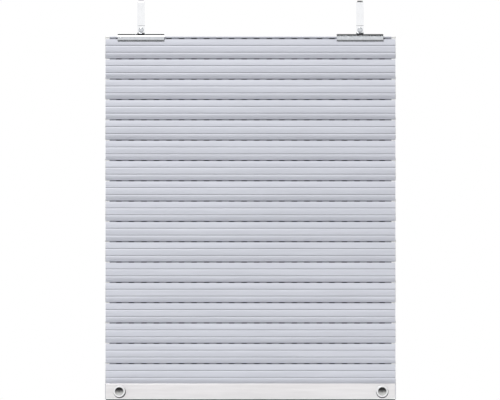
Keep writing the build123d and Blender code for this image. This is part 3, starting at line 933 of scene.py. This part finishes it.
FINISHES = {
    # The first three finishes paint shade on the slats; the fourth paints light and shade in the stoppers' bores
    "shade painted on the neck": ("Coil-lacquered aluminium, rubbed on the neck", neck_shade_lacquer),
    "shade painted behind the slots": ("Coil-lacquered aluminium, dusty behind the slots", slot_shade_lacquer),
    "shade painted in the grooves": ("Coil-lacquered aluminium, grimy in the grooves", groove_shade_lacquer),
    "rubber in the bore": ("Rubber, moulded, dusty below", bore_light_and_shade),
    "lacquered_aluminium": ("Coil-lacquered aluminium, rolled", coil_lacquer),
    "foam": ("Polyurethane foam, cast", cast_foam),
    "nylon": ("Nylon, moulded", moulded_nylon),
    "spring_steel": ("Spring steel, cold rolled", rolled_spring_steel),
    "zinc_steel": ("Steel, pressed and bright zinc plated", bright_zinc),
    "mill_aluminium": ("Aluminium, extruded bare", extruded_aluminium),
    "stopper_plastic": ("ABS with metal flake, moulded", metallic_abs),
    "cap_plastic": ("Polypropylene, moulded", moulded_polypropylene),
    "rubber": ("EPDM rubber, extruded", extruded_rubber),
}


def finish(slot):
    """The material of one of the record's slots, made once."""
    name, make = FINISHES[slot]
    return bpy.data.materials.get(name) or make(name, bpy.context.scene.shutter_finishes)


# Operators


class SHUTTER_OT_slats(bpy.types.Operator):
    """Make the roll-formed slats with their light slots"""
    bl_idname = "shutter.slats"
    bl_label = "Slats"

    def shade_places(self, sizes, half):
        """Boxes round the neck, what shows behind the slots and the two grooves, where shade is painted, and their
        finishes.
        """
        reach, side, under = half + OVERRUN, sizes.groove_width / 2, -sizes.bead_radius / 2
        boxes = [
            ((-reach, depth, -sizes.shoulder_drop), (reach, sizes.hook_radius, under))
            for depth in (under, -sizes.neck / 2 + WELD)
        ] + [
            ((-reach, y, z - side * FLOOR_HEIGHT), (reach, y + sizes.groove_cut + WELD, z + side))
            for y, z in groove_middles(sizes, PITCH)
        ]
        shaded = {}
        for (place, look), (low, high) in zip(PAINTED_SHADE.items(), boxes):
            shaded.update({f"{place} low": low, f"{place} high": high, f"{place} material": finish(look)})
        return shaded

    def execute(self, context):
        sizes = context.scene.shutter_slat
        half = CURTAIN_WIDTH / 2 - sizes.skin_end
        loops = [slat_outline(sizes, PITCH), slat_hollow(sizes, PITCH)]
        first = (sizes.slot_count - 1) / 2 * sizes.slot_pitch
        drop = (sizes.shoulder_drop + sizes.hook_radius) / 2
        values = {
            "Start": -half, "End": half, "Slots": sizes.slot_count,
            "First slot": (-first, 0, -drop), "Slot step": (sizes.slot_pitch, 0, 0),
            "Slot size": (sizes.slot_length, sizes.neck + OVERRUN, sizes.slot_height),
            **self.shade_places(sizes, half),
        }
        for name in SLATS:
            z = JOINTS[name.replace("slat", "hook")]["pos_m"][2]
            made_by(
                "slat", f"{name}_skin", loops_mesh(loops), name, "lacquered_aluminium", (name,),
                end_notches(sizes, -sizes.shoulder_drop), Place=(0, HOOK_Y, z), **values,
            )
        return {"FINISHED"}


class SHUTTER_OT_bar(bpy.types.Operator):
    """Make the bottom bar, its end caps and its seal"""
    bl_idname = "shutter.bar"
    bl_label = "Bottom bar"

    def execute(self, context):
        slat, bar = context.scene.shutter_slat, context.scene.shutter_bar
        half = CURTAIN_WIDTH / 2 - bar.cap
        low, high = -bar.front, -bar.front + bar.thickness
        foot, top = -bar.drop - bar.height, -bar.drop
        middle, fit = (low + high) / 2, bar.seal_fit
        lip, roof = foot + bar.wall, foot + bar.wall + bar.groove_height
        hollow = rounded_box(low + bar.wall, high - bar.wall, roof + bar.wall, top - bar.wall, bar.corner / 2)
        lip_top = foot - fit
        lip_foot = lip_top - bar.seal_height
        seal = [
            rounded_box(
                middle - bar.seal_width / 2 + wall, middle + bar.seal_width / 2 - wall,
                lip_foot + wall, lip_top - wall, bar.seal_height / 2 - wall - fit,
            )
            for wall in (0, bar.seal_wall)
        ]
        stem = seal_groove(
            middle, bar.seal_mouth / 2 - fit, bar.seal_head / 2 - fit, lip_top, lip + fit, roof - fit,
        )
        caps = {"Start": half, "End": half + bar.cap, "Both ends": True}
        for name, loops, slot, nodes, cutters, values in (
            ("bar_extrusion", [bar_outline(slat, bar), hollow], "mill_aluminium", ("bottom_bar",),
             end_notches(slat, top), {}),
            ("bar_caps", [rounded_box(low, high, foot, top, bar.corner)], "cap_plastic",
             ("bar_end_caps",), None, caps),
            ("bar_seal", seal, "rubber", (), None, {}),
            ("bar_seal_stem", [stem], "rubber", ("bottom_seal",), None, {}),
        ):
            made_by("section", name, loops_mesh(loops), "bar", slot, nodes, cutters, **{
                "Start": -half, "End": half, "Place": (0, HOOK_Y, BAR_AXIS_Z), **values,
            })
        return {"FINISHED"}


class SHUTTER_OT_stoppers(bpy.types.Operator):
    """Make the two stoppers with their plugs, washers and screws"""
    bl_idname = "shutter.stoppers"
    bl_label = "Stoppers"

    def execute(self, context):
        bar = context.scene.shutter_bar
        low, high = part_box("left_stopper")
        screw_place = Vector(((low.x + high.x) / 2, high.y, (low.z + high.z) / 2))
        first = screw_place + Vector((bar.stopper_play / 2, 0, bar.stopper_play))
        # The washers sit down and aside so that they show as the stoppers' painted shadow
        below = screw_place + Vector((bar.washer_play, 0, -bar.washer_play))
        outer = bar.stopper / 2 - bar.stopper_play
        bore, rim, wide = bar.stopper_bore / 2, bar.stopper_rim, bar.stopper_edge
        front, floor, hole = -bar.stopper_length, -bar.stopper_floor, bar.stopper_hole / 2
        stopper = [
            (hole, 0), (outer, 0),
            *rim_curve((outer - wide, front + wide), (wide, -wide), 0, 90, RIM_STEPS),
            *rim_curve((bore + rim, front + rim), (-rim, -rim), 90, 0, RIM_STEPS),
            (bore, floor), (hole, floor),
        ]
        lip, pin = bore - bar.plug_lip, bar.plug_hole / 2
        mouth, deep = front + 2 * rim, front + bar.plug_depth
        plug = [
            (bore, mouth), (bore, deep + bar.plug_wall), (pin, deep + bar.plug_wall),
            *rim_curve((pin, mouth), (lip - pin, deep - mouth), 90, 0, DISH_STEPS),
        ]
        head, shank, height = bar.screw_head / 2, bar.screw / 2, bar.screw_height
        recess = bar.screw_recess / 2
        tilt = math.asin(recess / head)
        screw = [
            (0, floor), (recess, floor - height / 2),
            *rim_curve((0, floor), (head, -height / math.cos(tilt)), 90 - math.degrees(tilt), 0, DISH_STEPS),
            (shank, floor), (shank, bar.screw_reach), (0, bar.screw_reach),
        ]
        inside, edge, thick = outer - wide, bar.washer / 2, -bar.washer_thickness
        washer = [(inside, 0), (edge, 0), (edge, thick), (inside, thick)]
        for name, profile, slot, nodes, place, look in (
            ("stoppers", stopper, "stopper_plastic", ("left_stopper", "right_stopper"), first, {}),
            ("stopper_plugs", plug, "rubber", (), first, {"look": "rubber in the bore"}),
            ("stopper_screw_heads", screw, "zinc_steel", ("stopper_screws",), screw_place, {}),
            ("stopper_washers", washer, "rubber", (), below, {}),
        ):
            made_by("repeat", name, turned(profile), "bar", slot, nodes,
                    Count=2, First=place, Step=(-2 * screw_place.x, 0, 0), **look)
        return {"FINISHED"}


class SHUTTER_OT_strips(bpy.types.Operator):
    """Make the two spring-steel strips and their rivets"""
    bl_idname = "shutter.strips"
    bl_label = "Hanger strips"

    def execute(self, context):
        strip = context.scene.shutter_hanger
        outline = thickened(strip_path(strip), strip.thickness, strip.slope)
        half, tongue = strip.width / 2, strip.tongue / 2
        shoulder, reach = (FLEX.y - strip.width, -strip.tongue_drop), strip.tongue_end + OVERRUN
        for side in ("left", "right"):
            middle = middle_x(side + "_lower_strip")
            tool = boxes_mesh([
                ((middle + one, *shoulder), (middle + other, reach, OVERRUN))
                for one, other in ((-half - OVERRUN, -tongue), (tongue, half + OVERRUN))
            ])
            add_pin(tool, middle, strip.tongue_hole / 2, strip.thickness)
            piece = made_by(
                "section", side + "_strip", loops_mesh([outline]), None, "spring_steel",
                (side + "_upper_strip", side + "_lower_strip"), tool,
                Start=middle - half, End=middle + half,
            )
            soften(piece, strip.edge)
            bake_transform(piece)
        head, tail = strip.rivet / 2, strip.rivet_tail / 2
        shank = head * SHANK_SHARE
        front = FLEX.y - 3 * strip.thickness / 2 - strip.fold_gap
        back = FLEX.y + strip.thickness / 2
        end = back + strip.rivet_tail_height
        profile = [
            *rim_curve((0, front), (head, -strip.rivet_dome), 90, 0, RIM_STEPS),
            (shank, front), (shank, back), (tail, back), (tail, end), (0, end),
        ]
        x = middle_x("left_lower_strip")
        made_by(
            "repeat", "strip_rivet_heads", turned(profile), "strips", "zinc_steel", ("strip_rivets",),
            Count=2, First=(x, 0, BRIDGE.z + strip.rivet_rise), Step=(-2 * x, 0, 0),
        )
        return {"FINISHED"}


def middle_x(name):
    """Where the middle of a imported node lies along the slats."""
    low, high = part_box(name)
    return (low.x + high.x) / 2


def soften(piece, width):
    """Rounds a piece's sharp edges and keeps the result as its mesh."""
    modifier = piece.modifiers.new("Edges", "BEVEL")
    modifier.width, modifier.segments = width, EDGE_SEGMENTS
    modifier.limit_method, modifier.angle_limit = "ANGLE", math.radians(EDGE_TURN)
    modifier.harden_normals = False
    shaped = piece.evaluated_get(bpy.context.evaluated_depsgraph_get())
    name, old = piece.data.name, piece.data
    piece.data = bpy.data.meshes.new_from_object(shaped)
    piece.modifiers.remove(modifier)
    bpy.data.meshes.remove(old)
    piece.data.name = name
    for face in piece.data.polygons:
        face.use_smooth = True


def add_pin(mesh, x, radius, thickness):
    """Adds an upright round cutter at the middle of a tongue."""
    pin = bmesh.new()
    pin.from_mesh(mesh)
    made = bmesh.ops.create_cone(
        pin, cap_ends=True, segments=PIN_STEPS, radius1=radius, radius2=radius, depth=4 * thickness,
    )
    bmesh.ops.translate(pin, verts=made["verts"], vec=(x, 0, 0))
    pin.to_mesh(mesh)
    pin.free()


class SHUTTER_OT_rails(bpy.types.Operator):
    """Make the two hanger rails with their pads and the bridges that the strips loop under"""
    bl_idname = "shutter.rails"
    bl_label = "Hanger rails"

    def execute(self, context):
        slat, rail = context.scene.shutter_slat, context.scene.shutter_hanger
        top = rail.bridge_rise + rail.bridge_thickness / 2
        half, deep, pad_half = rail.width / 2 + rail.window_room, rail.bridge_width / 2, rail.pad_width / 2
        bridge = rounded_box(
            -deep, deep, top - rail.bridge_thickness, top, rail.bridge_thickness * BRIDGE_ROUND,
        )
        pad_front = -rail.front - rail.wall + rail.band_depth + rail.chamfer_depth * PAD_SHARE
        pad = rounded_box(
            pad_front, pad_front + rail.pad, top - rail.chamfer, top + rail.pad * PAD_SHARE,
            rail.pad * PAD_ROUND,
        )
        for side in ("left", "right"):
            low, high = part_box(side + "_hanger_rail")
            middle = (low.x + high.x) / 2
            window = boxes_mesh([
                ((middle - half, -rail.window_depth, rail.bridge_rise - rail.window_depth),
                 (middle + half, slat.hook_radius + OVERRUN, top + OVERRUN)),
            ])
            for piece, outline, slot, nodes, start, end, cutters, edges in (
                ("_rail", rail_outline(slat, rail), "zinc_steel", (side + "_hanger_rail",),
                 low.x, high.x, window, RAIL_SHARP),
                ("_bridge", bridge, "zinc_steel", (), middle - half, middle + half, None, SHARP),
                ("_pad", pad, "rubber", (), middle - pad_half, middle + pad_half, None, SHARP),
            ):
                made_by(
                    "section", side + piece, loops_mesh([outline]), "rails", slot, nodes, cutters,
                    Start=start, End=end, Place=(0, HOOK_Y, FIRST_AXIS_Z),
                    **{"Sharp angle": math.radians(edges)},
                )
        return {"FINISHED"}


class SHUTTER_OT_finishes(bpy.types.Operator):
    """Give the parts that keep their own shape their finishes"""
    bl_idname = "shutter.finishes"
    bl_label = "Finishes"

    def execute(self, context):
        slots = {part["node"]: part["material_slot"] for part in frame["record"]["subparts"]}
        for name, piece in frame["nodes"].items():
            piece.data.materials.clear()
            piece.data.materials.append(finish(slots[name]))
        return {"FINISHED"}


class SHUTTER_OT_stage(bpy.types.Operator):
    """Make the floor, the lights and the camera"""
    bl_idname = "shutter.stage"
    bl_label = "Stage"

    def execute(self, context):
        scene = context.scene
        scene.view_settings.view_transform = "Standard"
        make_floor()
        make_world(scene)
        for lamp in LAMPS:
            make_lamp(*lamp)
        make_camera(scene)
        return {"FINISHED"}


def make_floor():
    """Pale painted floor some way under the hanging curtain."""
    mesh = bpy.data.meshes.new("floor")
    corners = ((-1, -1), (1, -1), (1, 1), (-1, 1))
    mesh.from_pydata([(x * FLOOR_REACH, y * FLOOR_REACH, FLOOR_Z) for x, y in corners], [], [(0, 1, 2, 3)])
    floor = bpy.data.objects.new("floor", mesh)
    bpy.context.scene.collection.objects.link(floor)
    material, tree, shader = new_material("Floor paint, rolled")
    grain = pattern(tree, "ShaderNodeTexNoise", (3, 3, 3), Detail=2.0, Roughness=0.5)
    share = node(tree, "ShaderNodeMapRange", {"Value": grain, **NOISE_RANGE})
    shader.inputs["Roughness"].default_value = FLOOR_ROUGHNESS
    lay_finish(tree, shader, share, [linear(hex_colour) for hex_colour in FLOOR_TINTS], None, ())
    mesh.materials.append(material)


def make_world(scene):
    """White to the camera, and dim in its light. In shiny parts it is white with a dark ceiling,
    a darker wall on the right and a dark floor."""
    world = bpy.data.worlds.new("Studio")
    world.use_nodes = True
    tree = world.node_tree
    tree.nodes.clear()
    path = node(tree, "ShaderNodeLightPath")
    place = node(tree, "ShaderNodeTexCoord")
    axes = node(tree, "ShaderNodeSeparateXYZ", {"Vector": place.outputs["Generated"]})
    mirrored = path.outputs["Is Glossy Ray"]
    for axis, start, end, one, other in MIRRORED:
        shade = node(tree, "ShaderNodeMapRange", {
            "Value": axes.outputs[axis], "From Min": start, "From Max": end, "To Min": one, "To Max": other,
        }, interpolation_type="SMOOTHSTEP")
        mirrored = node(tree, "ShaderNodeMath", {0: mirrored, 1: shade}, operation="MULTIPLY")
    seen = node(tree, "ShaderNodeMath", {
        0: path.outputs["Is Camera Ray"], 1: path.outputs["Is Transmission Ray"],
    }, operation="MAXIMUM")
    bright = node(tree, "ShaderNodeMath", {0: seen, 1: mirrored}, operation="MAXIMUM")
    other = node(tree, "ShaderNodeMath", {0: 1.0, 1: path.outputs["Is Glossy Ray"]}, operation="SUBTRACT")
    dim = node(tree, "ShaderNodeMath", {0: other, 1: WORLD_LIGHT}, operation="MULTIPLY")
    strength = node(tree, "ShaderNodeMath", {0: bright, 1: dim}, operation="MAXIMUM")
    light = node(tree, "ShaderNodeBackground", {"Color": linear("FFFFFF"), "Strength": strength})
    node(tree, "ShaderNodeOutputWorld", {"Surface": light})
    scene.world = world


def make_lamp(name, place, size, power, mirrored):
    """A soft square lamp that faces the curtain, with or without its image in shiny parts."""
    data = bpy.data.lights.new(name, "AREA")
    data.size, data.energy = size, power
    lamp = bpy.data.objects.new(name, data)
    lamp.location = place
    lamp.visible_glossy = mirrored
    aim = Vector((0, 0, CURTAIN_MIDDLE_Z)) - Vector(place)
    lamp.rotation_euler = aim.to_track_quat("-Z", "Y").to_euler()
    bpy.context.scene.collection.objects.link(lamp)


def make_camera(scene):
    """Camera straight in front, far off, as the photograph was taken."""
    data = bpy.data.cameras.new("camera")
    data.sensor_width = SENSOR_WIDTH
    data.lens = data.sensor_width * (VIEW_DISTANCE + HOOK_Y) / VIEW_WIDTH
    camera = bpy.data.objects.new("camera", data)
    camera.location = (VIEW_X, -VIEW_DISTANCE, VIEW_Z)
    camera.rotation_euler = (math.pi / 2, 0, 0)
    data.clip_end = FAR_CLIP
    scene.collection.objects.link(camera)
    scene.camera = camera


class SHUTTER_PT_panel(bpy.types.Panel):
    """Lists the pieces of the curtain in the sidebar"""
    bl_idname = "SHUTTER_PT_panel"
    bl_label = "Roller shutter curtain"
    bl_space_type = "VIEW_3D"
    bl_region_type = "UI"
    bl_category = "Shutter"

    def draw(self, context):
        for operator in OPERATORS:
            self.layout.operator(operator.bl_idname)
        for group in (context.scene.shutter_slat, context.scene.shutter_bar,
                      context.scene.shutter_hanger, context.scene.shutter_finishes):
            column = self.layout.column()
            for key in group.bl_rna.properties.keys():
                if key not in ("rna_type", "name"):
                    column.prop(group, key)


OPERATORS = (
    SHUTTER_OT_finishes, SHUTTER_OT_slats, SHUTTER_OT_bar, SHUTTER_OT_stoppers, SHUTTER_OT_strips,
    SHUTTER_OT_rails, SHUTTER_OT_stage,
)
GROUPS = {
    "shutter_slat": SlatSizes, "shutter_bar": BarSizes, "shutter_hanger": HangerSizes,
    "shutter_finishes": Finishes,
}


def register():
    """Registers the settings, the operators and the panel."""
    for name, group in GROUPS.items():
        bpy.utils.register_class(group)
        setattr(bpy.types.Scene, name, bpy.props.PointerProperty(type=group))
    for item in (*OPERATORS, SHUTTER_PT_panel):
        bpy.utils.register_class(item)


def unregister():
    """Takes them away again."""
    for item in (SHUTTER_PT_panel, *reversed(OPERATORS)):
        bpy.utils.unregister_class(item)
    for name, group in GROUPS.items():
        delattr(bpy.types.Scene, name)
        bpy.utils.unregister_class(group)


def main():
    """Makes every piece in turn."""
    register()
    for operator in OPERATORS:
        section, call = operator.bl_idname.split(".")
        getattr(getattr(bpy.ops, section), call)()


if __name__ == "__main__":
    main()
